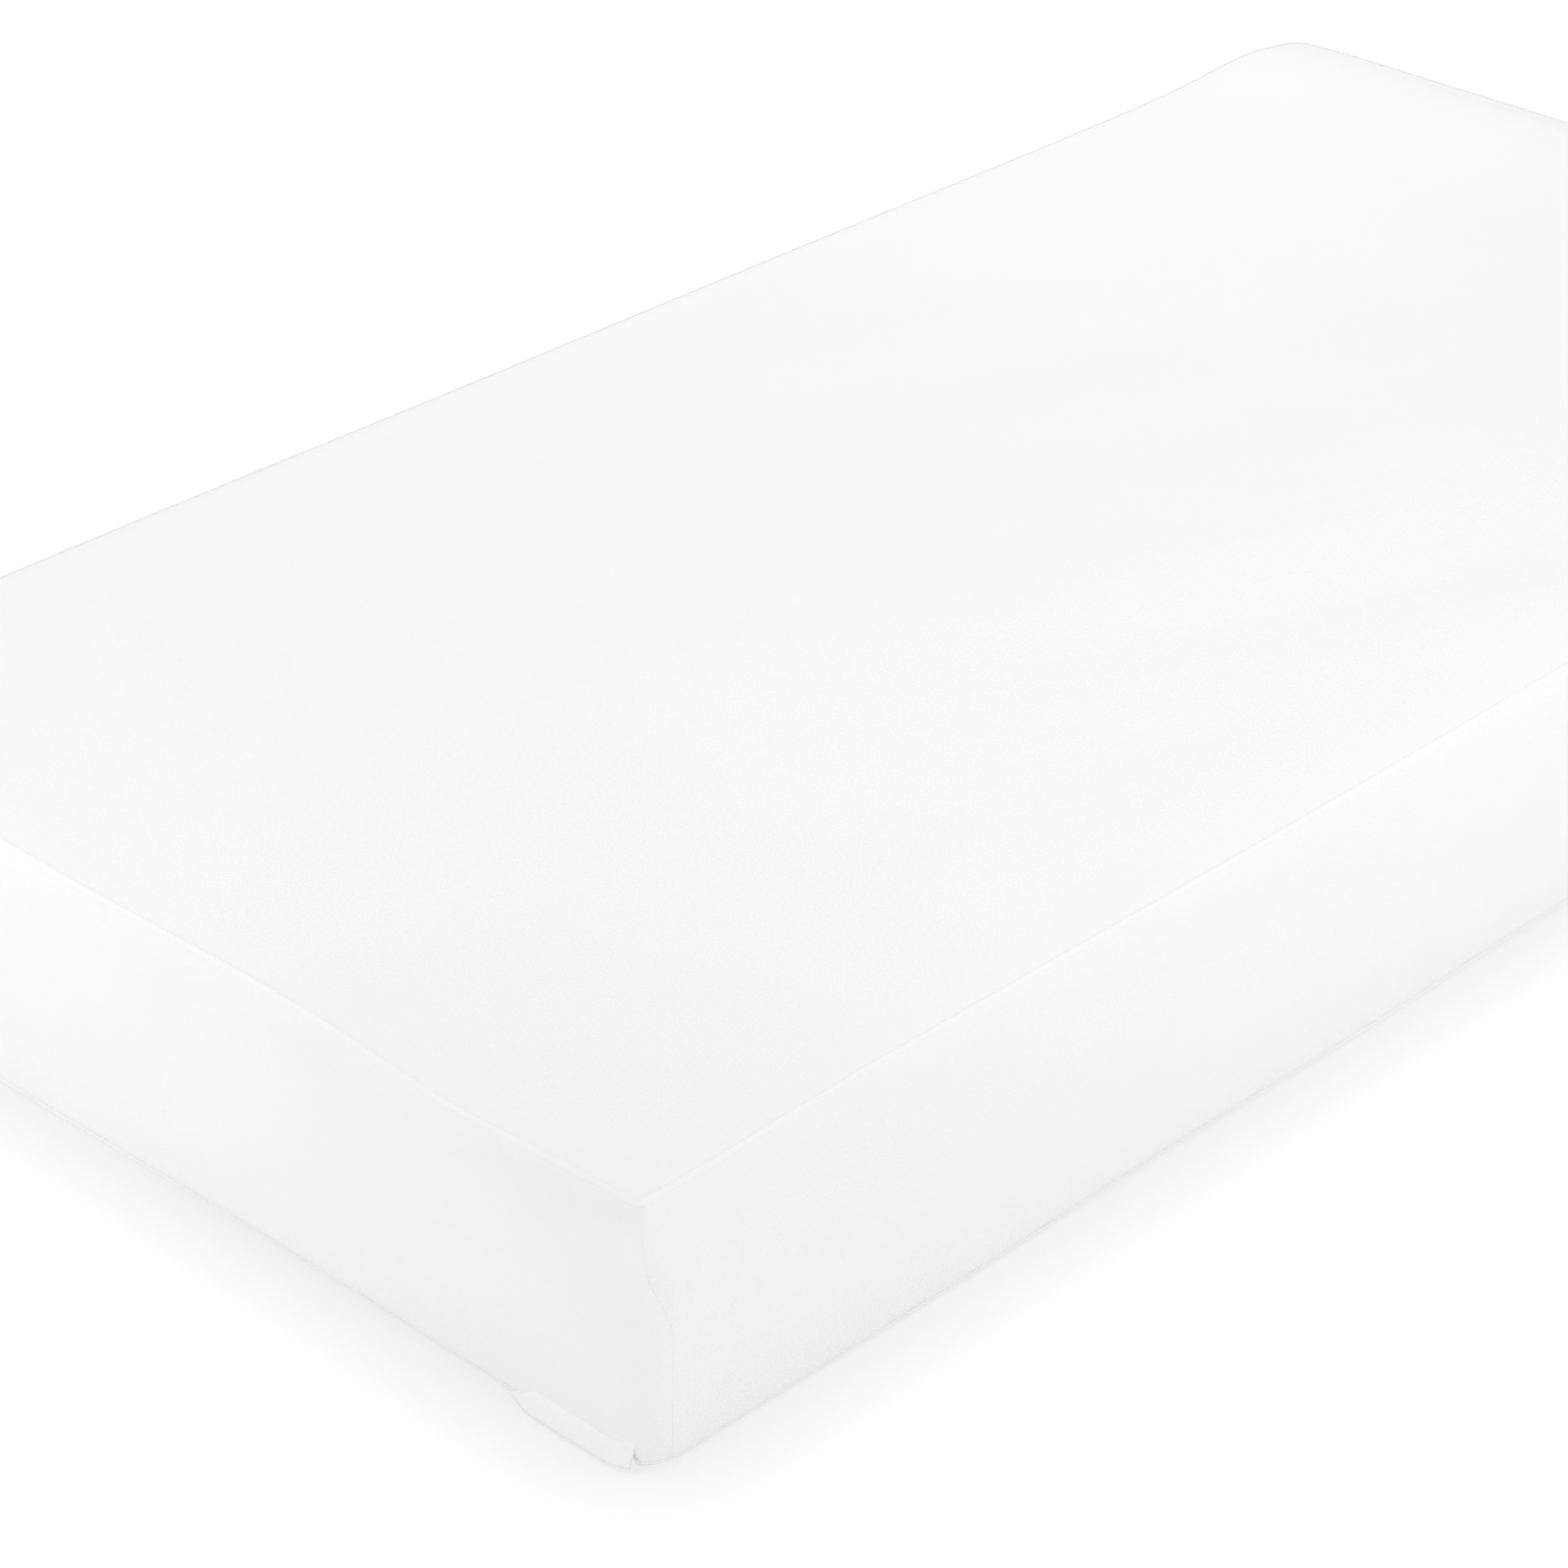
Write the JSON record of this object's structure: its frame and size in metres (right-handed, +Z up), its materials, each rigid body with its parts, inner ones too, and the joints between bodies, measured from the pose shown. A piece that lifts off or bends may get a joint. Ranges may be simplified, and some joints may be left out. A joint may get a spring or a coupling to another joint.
{
  "type": "memory foam mattress",
  "caption": "Small memory foam mattress: layered foams in a liner, inside a boxed white knit cover that a side zip opens.",
  "frame": {"origin": "middle of the underside, on the floor", "axes": "+X along the length, +Y across the width towards the side with the zip, +Z up"},
  "size_m": [1.3129, 0.697, 0.152],
  "materials": {
    "cover_knit": "matte",
    "cover_base": "matte",
    "seam_tape": "matte",
    "sock_knit": "matte",
    "support_foam": "matte",
    "transition_foam": "matte",
    "memory_foam": "matte",
    "zip_tape": "matte",
    "zip_coil": "satin",
    "zip_metal": "satin",
    "label_tape": "matte"
  },
  "bodies": {
    "mattress": {"support_foam_core": "support_foam", "transition_foam_layer": "transition_foam", "memory_foam_layer": "memory_foam", "inner_sock": "sock_knit", "cover_top_panel": "cover_knit", "cover_front_panel": "cover_knit", "cover_back_panel": "cover_knit", "cover_near_end_panel": "cover_knit", "cover_far_end_panel": "cover_knit", "cover_bottom_panel": "cover_base", "top_seam_binding": "seam_tape", "bottom_seam_binding": "seam_tape", "front_near_corner_binding": "seam_tape", "front_far_corner_binding": "seam_tape", "back_near_corner_binding": "seam_tape", "back_far_corner_binding": "seam_tape", "care_label": "label_tape", "zip_tape_upper": "zip_tape", "zip_tape_lower": "zip_tape", "zip_coil_upper": "zip_coil", "zip_coil_lower": "zip_coil", "zip_start_stop": "zip_coil", "zip_end_stop": "zip_coil", "zip_garage_start": "cover_knit", "zip_garage_end": "cover_knit"},
    "zip_slider": {"zip_slider": "zip_metal"},
    "zip_pull": {"zip_pull_tab": "zip_metal"}
  },
  "joints": [
    {"name": "zip_travel", "type": "slide", "parent": "mattress", "child": "zip_slider", "axis": [1, 0, 0], "range_m": [0, 1.17]},
    {"name": "pull_swing", "type": "hinge", "parent": "zip_slider", "child": "zip_pull", "pos_m": [-0.578, 0.34875, 0.012], "axis": [0, 0, 1], "range_deg": [0, 165]}
  ]
}
